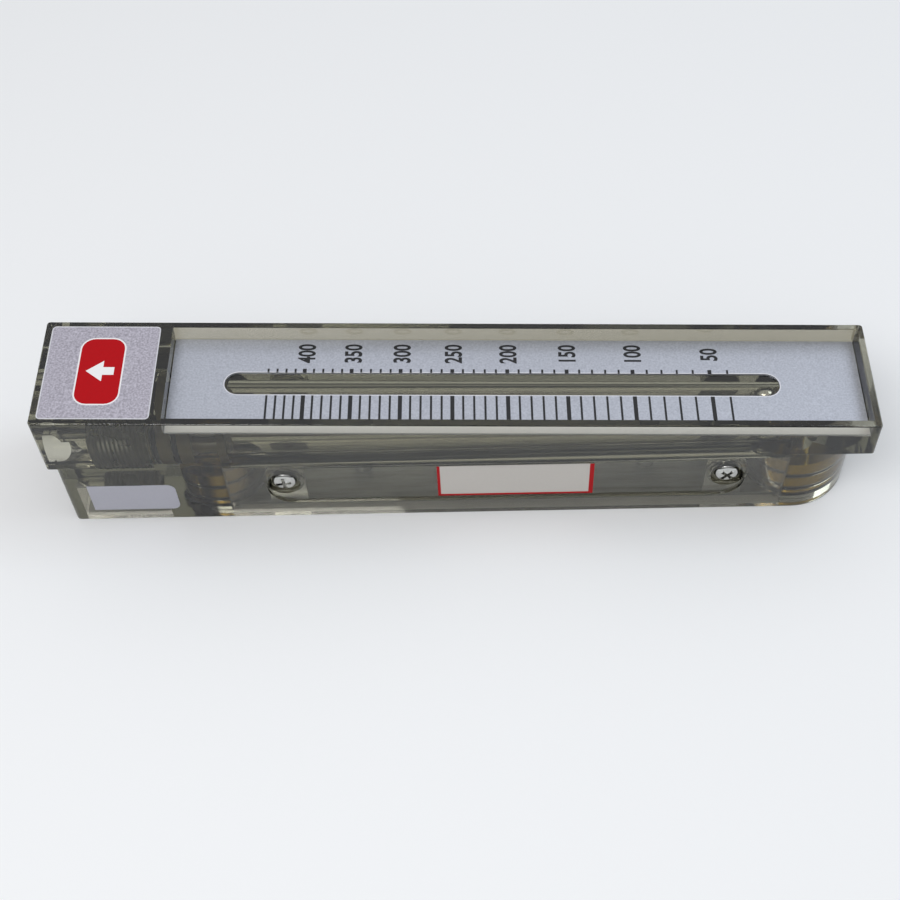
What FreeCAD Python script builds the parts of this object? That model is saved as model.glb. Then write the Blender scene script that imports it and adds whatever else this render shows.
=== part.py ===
"""Clear-bodied rotameter: a tapered bore moulded in a polycarbonate block, read against a metal scale.

Drawing axes of the moulding: x runs from the top end (outlet) to the bottom end (inlet), y from the
near side to the far side, and z from the flat back to the sloping front. The finished part is shifted
so that its origin lies at the middle of the back.
"""
import FreeCAD
import Part
import Sketcher

import math
import os
import re

doc = FreeCAD.newDocument("rotameter")

# ---------------------------------------------------------------- driving dimensions, millimetres
SIZES = {
    # moulded body
    "body_length": 384.2,
    "body_width": 60.3,
    "depth_top_end": 79.4,
    "depth_bottom_end": 64.4,
    "ledge_height": 43.9,
    "base_side_inset": 0.9,
    "base_top_inset": 3.6,
    "base_corner_radius": 3.0,
    "front_corner_radius": 1.6,
    "front_edge_round": 0.8,
    "port_top_x": 76.0,
    "port_bottom_inset": 32.0,
    # hollow back of the base
    "side_wall": 5.6,
    "ear_headroom": 3.8,
    "cavity_top_x": 81.0,
    "cavity_bottom_inset": 37.2,
    "end_cavity_length": 42.0,
    "tube_wall": 4.0,
    "boss_wall": 4.0,
    # shallow panels in both sides
    "panel_start_x": 101.0,
    "panel_end_inset": 57.2,
    "panel_low_z": 11.0,
    "panel_high_z": 39.5,
    "panel_depth": 1.2,
    "panel_corner_radius": 12.5,
    # scale plate and its window
    "recess_start_x": 59.2,
    "recess_depth": 9.2,
    "rim_side": 3.5,
    "rim_bottom": 3.6,
    "plate_clearance": 0.3,
    "plate_thickness": 1.0,
    "slot_start_x": 84.6,
    "slot_end_inset": 41.6,
    "slot_width": 12.9,
    # name plate on the top end block
    "name_plate_x": 3.3,
    "name_plate_length": 50.8,
    "name_plate_width": 54.2,
    "name_plate_radius": 2.0,
    "name_plate_thickness": 0.6,
    # tapered bore, measured from the seat face
    "bore_height": 43.9,
    "seat_to_port": 10.2,
    "bore_bottom_diameter": 15.0,
    "bore_top_diameter": 23.2,
    "flow_hole_radius": 6.0,
    "flow_hole_end": 17.5,
    "passage_radius": 6.5,
    # float and its two stops
    "float_diameter": 14.28,
    "float_gap": 0.3,
    "seat_length": 5.0,
    "seat_hole_radius": 5.5,
    "fit_clearance": 0.1,
    "stop_bore_radius": 13.0,
    "stop_flange": 4.0,
    "stop_waist_length": 12.0,
    "stop_waist_radius": 9.0,
    "stop_land_length": 20.0,
    "stop_window_radius": 3.0,
    "stop_gland_low": 24.0,
    "stop_gland_spacing": 9.5,
    # threaded end plug
    "plug_bore_radius": 15.9,
    "plug_recess": 19.8,
    "plug_length": 28.0,
    "plug_gap": 0.2,
    "plug_chamfer": 1.0,
    "plug_socket_radius": 8.0,
    "plug_socket_depth": 14.0,
    # port inserts
    "insert_radius": 17.5,
    "insert_height": 27.0,
    "insert_spigot_radius": 13.0,
    "pipe_thread_radius": 9.6,
    "pipe_thread_depth": 19.0,
    "thread_chamfer": 1.0,
    "thread_play": 0.05,
    "gland_low": 8.0,
    "gland_high": 18.0,
    "gland_width": 3.2,
    "ring_section": 2.4,
    # steel backbone
    "backbone_gap": 0.5,
    "backbone_thickness": 2.5,
    "backbone_width": 40.0,
    "ear_width": 18.0,
    "ear_reach": 9.0,
    "ear_corner_radius": 6.0,
    "ear_bend_radius": 1.5,
    # side screws
    "screw_top_x": 109.0,
    "screw_bottom_inset": 65.2,
    "screw_height": 25.2,
    "screw_floor": 2.45,
    "screw_hole_clearance": 0.3,
    "counterbore_radius": 7.8,
    "screw_boss_radius": 9.5,
    "screw_head_radius": 5.25,
    "screw_head_height": 3.4,
    "screw_crown_radius": 1.5,
    "screw_shank_radius": 2.4,
    "screw_length": 8.0,
    "screw_slot_width": 1.5,
    "screw_slot_depth": 1.7,
    # back mounting nuts
    "nut_top_x": 144.3,
    "nut_spacing": 139.7,
    "nut_radius": 4.8,
    "nut_height": 7.0,
    "nut_floor": 1.5,
    "nut_shank_radius": 3.2,
    "nut_thread_radius": 2.1,
    # blank labels
    "label_thickness": 0.2,
    "side_label_x": 182.0,
    "side_label_length": 74.0,
    "side_label_height": 24.5,
    "end_label_x": 15.0,
    "end_label_z": 8.0,
    "end_label_length": 42.0,
    "end_label_height": 20.0,
    "end_label_radius": 4.0,
}

sheet = doc.addObject("Spreadsheet::Sheet", "sizes")
for row, (alias, value) in enumerate(SIZES.items(), start=1):
    sheet.set(f"A{row}", alias)
    sheet.set(f"B{row}", str(value))
    sheet.setAlias(f"B{row}", alias)
doc.recompute()


# ---------------------------------------------------------------- expressions on the sheet
def ref(text):
    """Turns size names in a formula into references to the sheet."""
    return re.sub(r"[a-z_]+[a-z]", lambda m: f"sizes.{m[0]}" if m[0] in SIZES else m[0], str(text))


def number(text):
    """The present value of a formula, as a plain number."""
    return float(getattr(sheet.evalExpression(ref(text)), "Value", sheet.evalExpression(ref(text))))


def bind(item, **formulas):
    """Binds properties to formulas; a double underscore in a name stands for a dot."""
    for path, formula in formulas.items():
        item.setExpression(path.replace("__", "."), ref(formula))
    return item


def place(item, x="0", y="0", z="0", axis=(0, 0, 1), angle="0"):
    """Puts an item at a point, turned about one axis, with every value bound."""
    item.Placement = FreeCAD.Placement(FreeCAD.Vector(), FreeCAD.Rotation(FreeCAD.Vector(*axis), 10))
    return bind(item, Placement__Base__x=x, Placement__Base__y=y, Placement__Base__z=z,
                Placement__Rotation__Angle=angle)


# ---------------------------------------------------------------- derived places
ALONG_X = (1, 0, 0)
ALONG_Y = (0, 1, 0)
SHIFT_X = "body_length / 2"
SHIFT_Y = "body_width / 2"
MIDDLE_Y = "body_width / 2"
FRONT_TILT = "atan((depth_top_end - depth_bottom_end) / body_length)"
PORT_BOTTOM_X = "(body_length - port_bottom_inset)"
PORTS = (("top", "port_top_x"), ("bottom", PORT_BOTTOM_X))
PANEL_Y = "(base_side_inset + panel_depth)"
PANEL_END_X = "(body_length - panel_end_inset)"
CAVITY_BOTTOM_X = "(body_length - cavity_bottom_inset)"
CAVITY_HEIGHT = "(screw_height + ear_reach + ear_headroom)"
INSERT_FOOT = "(backbone_gap + backbone_thickness)"
EAR_Y = "((body_width - backbone_width) / 2)"
BOSS_FACE_Y = f"({EAR_Y} - fit_clearance)"
SCREW_SEAT_Y = f"({BOSS_FACE_Y} - screw_floor)"
SCREWS = (("top", "screw_top_x"), ("bottom", "(body_length - screw_bottom_inset)"))
NUTS = (("top", "nut_top_x"), ("bottom", "(nut_top_x + nut_spacing)"))
STOP_GLAND_HIGH = "(stop_gland_low + stop_gland_spacing)"
STOP_LENGTH = "(stop_flange + stop_waist_length + stop_land_length)"
SEAT_FACE_X = "(body_length - port_bottom_inset - seat_to_port)"
BORE_TRAVEL = f"({SEAT_FACE_X} - plug_recess - plug_length - plug_gap - {STOP_LENGTH})"


def front_height(x):
    """Height of the sloping front above the back, at a distance from the top end."""
    return f"(depth_top_end - (depth_top_end - depth_bottom_end) * ({x}) / body_length)"


def bore_place(item, along, shift_x="0", shift_y="0"):
    """Puts an item on the bore axis, its own z towards the top end, a distance from the seat face."""
    return place(item, f"{SEAT_FACE_X} - ({along}) - {shift_x}", f"{MIDDLE_Y} - {shift_y}", "bore_height",
                 ALONG_Y, "-90")


# ---------------------------------------------------------------- building blocks
NEAR = 0.01
ALIGNED = math.cos(math.radians(5))
nodes = []


def new_body(name):
    """An empty body whose label names the finished piece."""
    body = doc.addObject("PartDesign::Body", name)
    body.Label = name
    nodes.append(body)
    return body


def in_part(body, x="0", y="0", z="0", axis=(0, 0, 1), angle="0"):
    """Places a whole piece by its drawing position, shifted to the part's own origin."""
    return place(body, f"{x} - {SHIFT_X}", f"{y} - {SHIFT_Y}", z, axis, angle)


def feature(body, kind, name, **formulas):
    """Adds a PartDesign feature and binds its sizes."""
    return bind(body.newObject(f"PartDesign::{kind}", name), **formulas)


def origin_plane(body, role):
    """One of the body's own origin planes."""
    return next(item for item in body.Origin.OriginFeatures if item.Role == role)


def outline(body, name, points, inset="0"):
    """A closed outline on the XZ plane, moved towards +Y by inset, each corner bound to its two formulas."""
    sketch = body.newObject("Sketcher::SketchObject", name)
    sketch.AttachmentSupport = (origin_plane(body, "XZ_Plane"), "")
    sketch.MapMode = "FlatFace"
    bind(sketch, AttachmentOffset__Base__z=f"-({inset})")
    corners = [FreeCAD.Vector(number(x), number(z), 0) for x, z in points]
    for start, end in zip(corners, corners[1:] + corners[:1]):
        sketch.addGeometry(Part.LineSegment(start, end), False)
    for index in range(len(corners)):
        following = (index + 1) % len(corners)
        sketch.addConstraint(Sketcher.Constraint("Coincident", index, 2, following, 1))
    for index, (x, z) in enumerate(points):
        for kind, formula in (("DistanceX", x), ("DistanceY", z)):
            constraint = sketch.addConstraint(Sketcher.Constraint(kind, -1, 1, index, 1, number(formula)))
            sketch.setExpression(f"Constraints[{constraint}]", ref(formula))
    return sketch


def turned(name, profile):
    """A piece turned about its own z axis from a half profile of (radius, height) corners."""
    body = new_body(name)
    sketch = outline(body, f"{name}_profile", profile)
    spin = feature(body, "Revolution", f"{name}_turning")
    spin.Profile = sketch
    spin.ReferenceAxis = (sketch, ["V_Axis"])
    spin.Angle = 360
    return body


def edges_where(shape, test):
    """Names of the edges whose middle and direction pass a test."""
    names = []
    for index, edge in enumerate(shape.Edges, start=1):
        middle = edge.valueAt((edge.FirstParameter + edge.LastParameter) / 2)
        direction = edge.tangentAt((edge.FirstParameter + edge.LastParameter) / 2)
        if test(middle, direction):
            names.append(f"Edge{index}")
    return names


def round_edges(body, name, radius, test):
    """Rounds the edges of the body's present tip that pass a test."""
    doc.recompute()
    base = body.Tip
    rounding = feature(body, "Fillet", name, Radius=radius)
    rounding.Base = (base, edges_where(base.Shape, test))
    return rounding


def upright(middle, direction):
    """True on an edge that runs along the piece's own z axis."""
    return abs(direction.z) > ALIGNED


# ---------------------------------------------------------------- moulded body
def front_and_base(body):
    """The wedge-shaped front block on the narrower base with its round bottom end."""
    wedge = outline(body, "front_profile", [
        ("0", "ledge_height"),
        ("body_length", "ledge_height"),
        ("body_length", "depth_bottom_end"),
        ("0", "depth_top_end"),
    ])
    block = feature(body, "Pad", "front_block", Length="body_width")
    block.Profile = wedge
    block.Reversed = True
    round_edges(body, "front_corners", "front_corner_radius", upright)
    slope = number(f"tan({FRONT_TILT})")
    top_end_height = number("depth_top_end")
    round_edges(body, "front_edges", "front_edge_round",
                lambda middle, direction: abs(top_end_height - slope * middle.x - middle.z) < NEAR)
    base = feature(body, "AdditiveBox", "base_block", Length=f"{PORT_BOTTOM_X} - base_top_inset",
                   Width="body_width - 2 * base_side_inset", Height="ledge_height")
    place(base, "base_top_inset", "base_side_inset")
    top_end = number("base_top_inset")
    round_edges(body, "base_corners", "base_corner_radius",
                lambda middle, direction: upright(middle, direction) and abs(middle.x - top_end) < NEAR)
    end = feature(body, "AdditiveCylinder", "base_round_end", Radius="body_width / 2 - base_side_inset",
                  Height="ledge_height")
    place(end, PORT_BOTTOM_X, MIDDLE_Y)


def hollow_back(body):
    """The base cored out from the back, with the bore's tube and the port bosses standing in the hollow."""
    main = feature(body, "SubtractiveBox", "main_cavity", Length=f"{CAVITY_BOTTOM_X} - cavity_top_x",
                   Width="body_width - 2 * side_wall", Height=CAVITY_HEIGHT)
    place(main, "cavity_top_x", "side_wall")
    end = feature(body, "SubtractiveBox", "top_end_cavity", Length="end_cavity_length",
                  Width="body_width - 2 * side_wall", Height="bore_height - plug_bore_radius - tube_wall")
    place(end, "base_top_inset + side_wall", "side_wall")
    tube = feature(body, "AdditiveCone", "bore_tube", Radius1="bore_bottom_diameter / 2 + tube_wall",
                   Radius2="bore_top_diameter / 2 + tube_wall", Height=BORE_TRAVEL)
    bore_place(tube, "0")
    for name, x in PORTS:
        boss = feature(body, "AdditiveCylinder", f"{name}_port_boss",
                       Radius="insert_radius + fit_clearance + boss_wall", Height="bore_height")
        place(boss, x, MIDDLE_Y)


def sides(body):
    """Shallow panels with bossed, counterbored screw holes, the same on both sides."""
    for side, y_from_side, turn in (("near", "{}", "90"), ("far", "body_width - {}", "-90")):
        panel = outline(body, f"{side}_panel_profile", [
            ("panel_start_x", "panel_low_z"),
            (PANEL_END_X, "panel_low_z"),
            (PANEL_END_X, "panel_high_z"),
            ("panel_start_x", "panel_high_z"),
        ], inset="0" if side == "near" else f"body_width - {PANEL_Y}")
        feature(body, "Pocket", f"{side}_panel", Length=PANEL_Y).Profile = panel
        round_edges(body, f"{side}_panel_corners", "panel_corner_radius", panel_corner(side))
        for name, x in SCREWS:
            boss = feature(body, "AdditiveCylinder", f"{side}_{name}_screw_boss", Radius="screw_boss_radius",
                           Height=f"{BOSS_FACE_Y} - {PANEL_Y}")
            place(boss, x, y_from_side.format(BOSS_FACE_Y), "screw_height", ALONG_X, turn)
            bore = feature(body, "SubtractiveCylinder", f"{side}_{name}_counterbore",
                           Radius="counterbore_radius", Height=SCREW_SEAT_Y)
            place(bore, x, y_from_side.format(SCREW_SEAT_Y), "screw_height", ALONG_X, turn)
            hole = feature(body, "SubtractiveCylinder", f"{side}_{name}_screw_hole",
                           Radius="screw_shank_radius + screw_hole_clearance", Height=EAR_Y)
            place(hole, x, y_from_side.format(EAR_Y), "screw_height", ALONG_X, turn)


def panel_corner(side):
    """A test for the short edges at a side panel's four corners."""
    floor = number(PANEL_Y if side == "near" else f"body_width - {PANEL_Y}")
    corners = [(number(x), number(z)) for x in ("panel_start_x", PANEL_END_X)
               for z in ("panel_low_z", "panel_high_z")]

    def is_corner(middle, direction):
        outside = middle.y < floor if side == "near" else middle.y > floor
        return outside and any(abs(middle.x - x) < NEAR and abs(middle.z - z) < NEAR for x, z in corners)
    return is_corner


def front_recesses(body):
    """The window for the scale plate and the shallow seat of the name plate, both along the sloping front."""
    window = feature(body, "SubtractiveBox", "scale_recess",
                     Length=f"(body_length - rim_bottom - recess_start_x) / cos({FRONT_TILT})",
                     Width="body_width - 2 * rim_side", Height="2 * recess_depth")
    place(window, "recess_start_x", "rim_side", f"{front_height('recess_start_x')} - recess_depth",
          ALONG_Y, FRONT_TILT)
    seat = feature(body, "SubtractiveBox", "name_plate_seat",
                   Length="name_plate_length + 2 * fit_clearance",
                   Width="name_plate_width + 2 * fit_clearance", Height="2 * name_plate_thickness")
    place(seat, "name_plate_x - fit_clearance", "(body_width - name_plate_width) / 2 - fit_clearance",
          f"{front_height('name_plate_x')} - name_plate_thickness", ALONG_Y, FRONT_TILT)
    seat_end = number("name_plate_x + name_plate_length + fit_clearance")
    seat_edge = number("(body_width - name_plate_width) / 2 - fit_clearance")
    base_height = number("ledge_height")
    round_edges(body, "name_plate_seat_corners", "name_plate_radius + fit_clearance",
                lambda middle, direction: upright(middle, direction) and middle.z > base_height
                and seat_edge - NEAR < middle.y < number("body_width") - seat_edge + NEAR
                and number("name_plate_x") - 1 < middle.x < seat_end + NEAR)


def bores(body):
    """The tapered bore with its stepped top end, and the two ports that reach it from the back."""
    taper = feature(body, "SubtractiveCone", "tapered_bore", Radius1="bore_bottom_diameter / 2",
                    Radius2="bore_top_diameter / 2", Height=BORE_TRAVEL)
    bore_place(taper, "0")
    steps = (
        ("seat_pocket", "bore_bottom_diameter / 2", "-seat_length", "seat_length"),
        ("flow_hole", "flow_hole_radius", "-flow_hole_end", "flow_hole_end"),
        ("stop_bore", "stop_bore_radius", BORE_TRAVEL, STOP_LENGTH),
        ("plug_bore", "plug_bore_radius", f"{BORE_TRAVEL} + {STOP_LENGTH}",
         "plug_gap + plug_length + 2 * plug_recess"),
    )
    for name, radius, along, length in steps:
        bore_place(feature(body, "SubtractiveCylinder", name, Radius=radius, Height=length), along)
    for name, x in PORTS:
        socket = feature(body, "SubtractiveCylinder", f"{name}_port_socket",
                         Radius="insert_radius + fit_clearance", Height="insert_height + fit_clearance")
        place(socket, x, MIDDLE_Y)
        passage = feature(body, "SubtractiveCylinder", f"{name}_port_passage", Radius="passage_radius",
                          Height="bore_height")
        place(passage, x, MIDDLE_Y)


def back_pocket(body):
    """The shallow pocket that takes the steel backbone flush with the back."""
    reach = "backbone_width / 2 + fit_clearance"
    strip = feature(body, "SubtractiveBox", "backbone_pocket", Length=f"{PORT_BOTTOM_X} - port_top_x",
                    Width=f"2 * ({reach})", Height=INSERT_FOOT)
    place(strip, "port_top_x", f"{MIDDLE_Y} - ({reach})")
    for name, x in PORTS:
        end = feature(body, "SubtractiveCylinder", f"{name}_backbone_pocket", Radius=reach,
                      Height=INSERT_FOOT)
        place(end, x, MIDDLE_Y)


def moulded_body():
    body = new_body("body")
    in_part(body)
    front_and_base(body)
    hollow_back(body)
    sides(body)
    front_recesses(body)
    bores(body)
    back_pocket(body)


# ---------------------------------------------------------------- plates and labels
def slab(name, length, width, thickness, x="0", y="0"):
    """A flat rectangular piece lying on its own XY plane."""
    body = new_body(name)
    sheet_metal = feature(body, "AdditiveBox", f"{name}_blank", Length=length, Width=width, Height=thickness)
    place(sheet_metal, x, y)
    return body


def scale_plate():
    """The aluminium scale on the floor of the recess, with the window slot over the bore."""
    along = f"/ cos({FRONT_TILT})"
    body = slab("scale_plate",
                f"(body_length - rim_bottom - recess_start_x) {along} - 2 * plate_clearance",
                "body_width - 2 * rim_side - 2 * plate_clearance", "plate_thickness",
                "plate_clearance", "plate_clearance")
    in_part(body, "recess_start_x", "rim_side", f"{front_height('recess_start_x')} - recess_depth",
            ALONG_Y, FRONT_TILT)
    start = f"(slot_start_x - recess_start_x + slot_width / 2) {along}"
    end = f"(body_length - slot_end_inset - recess_start_x - slot_width / 2) {along}"
    middle = "(body_width / 2 - rim_side)"
    slot = feature(body, "SubtractiveBox", "slot", Length=f"{end} - {start}", Width="slot_width",
                   Height="plate_thickness")
    place(slot, start, f"{middle} - slot_width / 2")
    for name, x in (("slot_top_end", start), ("slot_bottom_end", end)):
        place(feature(body, "SubtractiveCylinder", name, Radius="slot_width / 2", Height="plate_thickness"),
              x, middle)


def name_plate():
    """The bare plate let into the front of the top end block."""
    body = slab("name_plate", "name_plate_length", "name_plate_width", "name_plate_thickness",
                "fit_clearance", "fit_clearance")
    in_part(body, "name_plate_x - fit_clearance", "(body_width - name_plate_width) / 2 - fit_clearance",
            f"{front_height('name_plate_x')} - name_plate_thickness", ALONG_Y, FRONT_TILT)
    round_edges(body, "name_plate_corners", "name_plate_radius", upright)


def labels():
    """Two blank labels on the near side: one in the panel, one on the top end of the base."""
    side = slab("side_label", "side_label_length", "side_label_height", "label_thickness")
    in_part(side, "side_label_x", PANEL_Y, "(panel_low_z + panel_high_z - side_label_height) / 2",
            ALONG_X, "90")
    end = slab("end_label", "end_label_length", "end_label_height", "label_thickness")
    in_part(end, "end_label_x", "base_side_inset", "end_label_z", ALONG_X, "90")
    round_edges(end, "end_label_corners", "end_label_radius",
                lambda middle, direction: upright(middle, direction) and middle.x > NEAR)


# ---------------------------------------------------------------- float and its stops
def ball_stand_off():
    """Distance from a stop's face to the centre of the ball that rests on its hole."""
    return "(sqrt((float_diameter / 2) ^ 2 - seat_hole_radius ^ 2) + float_gap)"


def float_ball():
    ball = doc.addObject("Part::Sphere", "float")
    ball.Label = "float"
    nodes.append(ball)
    bind(ball, Radius="float_diameter / 2")
    bore_place(ball, ball_stand_off(), SHIFT_X, SHIFT_Y)


def lower_seat():
    """The ring that the float rests on with no flow."""
    rim = "bore_bottom_diameter / 2 - fit_clearance"
    body = turned("lower_seat", [
        ("seat_hole_radius", "-seat_length"),
        (rim, "-seat_length"),
        (rim, "0"),
        ("seat_hole_radius", "0"),
    ])
    bore_place(body, "0", SHIFT_X, SHIFT_Y)


def gland(rim, floor, height):
    """The four corners of a sealing-ring groove in a turned profile, going up."""
    low, high = f"{height} - gland_width / 2", f"{height} + gland_width / 2"
    return [(rim, low), (floor, low), (floor, high), (rim, high)]


def upper_stop():
    """The hollow, cross-drilled stop at the top of the bore, sealed by two rings behind its windows."""
    rim = "stop_bore_radius - fit_clearance"
    floor = "stop_bore_radius - ring_section"
    waist_end = "stop_flange + stop_waist_length"
    body = turned("upper_stop", [
        ("0", waist_end),
        ("seat_hole_radius", waist_end),
        ("seat_hole_radius", "0"),
        (rim, "0"),
        (rim, "stop_flange"),
        ("stop_waist_radius", "stop_flange"),
        ("stop_waist_radius", waist_end),
        (rim, waist_end),
        *gland(rim, floor, "stop_gland_low"),
        *gland(rim, floor, STOP_GLAND_HIGH),
        (rim, STOP_LENGTH),
        ("0", STOP_LENGTH),
    ])
    bore_place(body, BORE_TRAVEL, SHIFT_X, SHIFT_Y)
    for name, x, y, axis in (("window_upright", "-stop_bore_radius", "0", ALONG_Y),
                             ("window_across", "0", "stop_bore_radius", ALONG_X)):
        window = feature(body, "SubtractiveCylinder", name, Radius="stop_window_radius",
                         Height="2 * stop_bore_radius")
        place(window, x, y, "stop_flange + stop_waist_length / 2", axis, "90")


def end_plug():
    """The threaded plug that closes the top end of the bore, with a hexagon socket."""
    rim = "plug_bore_radius - fit_clearance"
    body = turned("end_plug", [
        ("0", "0"),
        (f"{rim} - plug_chamfer", "0"),
        (rim, "plug_chamfer"),
        (rim, "plug_length - plug_chamfer"),
        (f"{rim} - plug_chamfer", "plug_length"),
        ("0", "plug_length"),
    ])
    bore_place(body, f"{BORE_TRAVEL} + {STOP_LENGTH} + plug_gap", SHIFT_X, SHIFT_Y)
    socket = feature(body, "SubtractivePrism", "plug_socket", Circumradius="plug_socket_radius",
                     Height="plug_socket_depth")
    socket.Polygon = 6
    place(socket, z="plug_length - plug_socket_depth")


def sealing_ring(name, bore_radius):
    """An O-ring of the common section that seals on a bore of the given radius."""
    ring = doc.addObject("Part::Torus", name)
    ring.Label = name
    nodes.append(ring)
    return bind(ring, Radius1=f"{bore_radius} - ring_section / 2", Radius2="ring_section / 2")


def stop_rings():
    for name, height in (("inner_stop_ring", "stop_gland_low"), ("outer_stop_ring", STOP_GLAND_HIGH)):
        bore_place(sealing_ring(name, "stop_bore_radius"), f"{BORE_TRAVEL} + {height}", SHIFT_X, SHIFT_Y)


# ---------------------------------------------------------------- ports and backbone
def port_insert(name, x):
    """A turned pipe-thread insert with its spigot in the backbone and two sealing rings in the body."""
    sleeve = "insert_radius"
    floor = "insert_radius + fit_clearance - ring_section"
    thread_end = "backbone_gap + pipe_thread_depth"
    body = turned(f"{name}_port_insert", [
        ("pipe_thread_radius + thread_chamfer", "backbone_gap"),
        ("insert_spigot_radius", "backbone_gap"),
        ("insert_spigot_radius", INSERT_FOOT),
        (sleeve, INSERT_FOOT),
        *gland(sleeve, floor, "gland_low"),
        *gland(sleeve, floor, "gland_high"),
        (sleeve, "insert_height"),
        ("passage_radius", "insert_height"),
        ("passage_radius", thread_end),
        ("pipe_thread_radius", thread_end),
        ("pipe_thread_radius", "backbone_gap + thread_chamfer"),
    ])
    in_part(body, x, MIDDLE_Y)
    for level in ("low", "high"):
        ring = sealing_ring(f"{name}_port_ring_{level}", "insert_radius + fit_clearance")
        in_part(ring, x, MIDDLE_Y, f"gland_{level}")


def backbone():
    """The steel strip that ties both ports together, with four bent-up ears for the side screws."""
    body = new_body("backbone")
    in_part(body)
    strip = feature(body, "AdditiveBox", "strip", Length=f"{PORT_BOTTOM_X} - port_top_x",
                    Width="backbone_width", Height="backbone_thickness")
    place(strip, "port_top_x", EAR_Y, "backbone_gap")
    for name, x in PORTS:
        end = feature(body, "AdditiveCylinder", f"{name}_end", Radius="backbone_width / 2",
                      Height="backbone_thickness")
        place(end, x, MIDDLE_Y, "backbone_gap")
    for side, y in (("near", EAR_Y), ("far", f"body_width - {EAR_Y} - backbone_thickness")):
        for name, x in SCREWS:
            ear = feature(body, "AdditiveBox", f"{side}_{name}_ear", Length="ear_width",
                          Width="backbone_thickness", Height="screw_height + ear_reach - backbone_gap")
            place(ear, f"{x} - ear_width / 2", y, "backbone_gap")
    ear_top = number("screw_height + ear_reach")
    round_edges(body, "ear_corners", "ear_corner_radius",
                lambda middle, direction: abs(direction.y) > ALIGNED and abs(middle.z - ear_top) < NEAR)
    ear_foot = number(INSERT_FOOT)
    bends = [number(f"{EAR_Y} + backbone_thickness"), number(f"body_width - {EAR_Y} - backbone_thickness")]
    round_edges(body, "ear_bends", "ear_bend_radius",
                lambda middle, direction: abs(middle.z - ear_foot) < NEAR and abs(direction.x) > ALIGNED
                and any(abs(middle.y - bend) < NEAR for bend in bends))
    for name, x in PORTS:
        hole = feature(body, "SubtractiveCylinder", f"{name}_spigot_hole", Radius="insert_spigot_radius",
                       Height="backbone_thickness")
        place(hole, x, MIDDLE_Y, "backbone_gap")
    for name, x in NUTS:
        hole = feature(body, "SubtractiveCylinder", f"{name}_nut_hole", Radius="nut_shank_radius",
                       Height="backbone_thickness")
        place(hole, x, MIDDLE_Y, "backbone_gap")
    for name, x in SCREWS:
        tapped = feature(body, "SubtractiveCylinder", f"{name}_ear_threads",
                         Radius="screw_shank_radius + thread_play", Height="body_width")
        place(tapped, x, "body_width", "screw_height", ALONG_X, "90")


def mounting_nut(name, x):
    """A closed clinch nut pressed into the backbone, open at the back for a mounting screw."""
    crown = f"{INSERT_FOOT} + nut_height"
    body = turned(name, [
        ("nut_thread_radius", "backbone_gap"),
        ("nut_shank_radius", "backbone_gap"),
        ("nut_shank_radius", INSERT_FOOT),
        ("nut_radius", INSERT_FOOT),
        ("nut_radius", crown),
        ("0", crown),
        ("0", f"{crown} - nut_floor"),
        ("nut_thread_radius", f"{crown} - nut_floor"),
    ])
    in_part(body, x, MIDDLE_Y)


def side_screw(name, x, y, turn, slot_turn):
    """A slotted pan-head screw, its own z pointing out of the side, its head on the counterbore's floor."""
    body = new_body(name)
    in_part(body, x, y, "screw_height", ALONG_X, turn)
    shank = feature(body, "AdditiveCylinder", f"{name}_shank", Radius="screw_shank_radius",
                    Height="screw_length")
    place(shank, z="-screw_length")
    feature(body, "AdditiveCylinder", f"{name}_head", Radius="screw_head_radius",
            Height="screw_head_height")
    crown = number("screw_head_height")
    round_edges(body, f"{name}_crown", "screw_crown_radius",
                lambda middle, direction: abs(middle.z - crown) < NEAR)
    slot = feature(body, "SubtractiveBox", f"{name}_slot", Length="4 * screw_head_radius",
                   Width="screw_slot_width", Height="screw_head_height")
    along, across = "2 * screw_head_radius", "screw_slot_width / 2"
    place(slot, f"{across} * sin({slot_turn}) - {along} * cos({slot_turn})",
          f"-{across} * cos({slot_turn}) - {along} * sin({slot_turn})",
          "screw_head_height - screw_slot_depth", angle=slot_turn)


def side_screws():
    slot_turns = {"near_top": "80 deg", "near_bottom": "-42 deg", "far_top": "25 deg", "far_bottom": "60 deg"}
    for side, y, turn in (("near", SCREW_SEAT_Y, "90"), ("far", f"body_width - {SCREW_SEAT_Y}", "-90")):
        for name, x in SCREWS:
            side_screw(f"{side}_screw_{name}", x, y, turn, slot_turns[f"{side}_{name}"])


# ---------------------------------------------------------------- assembly and export
def build():
    moulded_body()
    scale_plate()
    name_plate()
    labels()
    float_ball()
    lower_seat()
    upper_stop()
    stop_rings()
    end_plug()
    for name, x in PORTS:
        port_insert(name, x)
    backbone()
    for name, x in NUTS:
        mounting_nut(f"mounting_nut_{name}", x)
    side_screws()
    doc.recompute()


def check():
    """Stops before anything is written if an object failed or a piece isn't a sound solid."""
    failed = [f"{item.Name}: {item.getStatusString()}" for item in doc.Objects
              if "Invalid" in item.State or "Error" in item.State]
    unsound = [node.Label for node in nodes if node.Shape.isNull() or not node.Shape.isValid()]
    if failed or unsound:
        raise RuntimeError(f"failed: {failed}, unsound: {unsound}")


def export():
    os.makedirs("parts", exist_ok=True)
    for node in nodes:
        node.Shape.exportStep(f"parts/{node.Label}.step")
        print(f"{node.Label}: {len(node.Shape.Solids)} solid, {node.Shape.Volume / 1000:.2f} cm3")


build()
check()
export()
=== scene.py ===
# %% [markdown]
# # A rotameter in clear polycarbonate
# A rotameter reads a flow by how high a ball floats in a tapered bore. The bore of this one is moulded
# inside a clear block, so nearly everything that gives it its look is seen through plastic. The measured
# solids come first, as a frame that never moves, and each later cell adds a finish or a small piece.

import math

import bmesh
import bpy
from mathutils import Matrix, Vector


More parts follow.
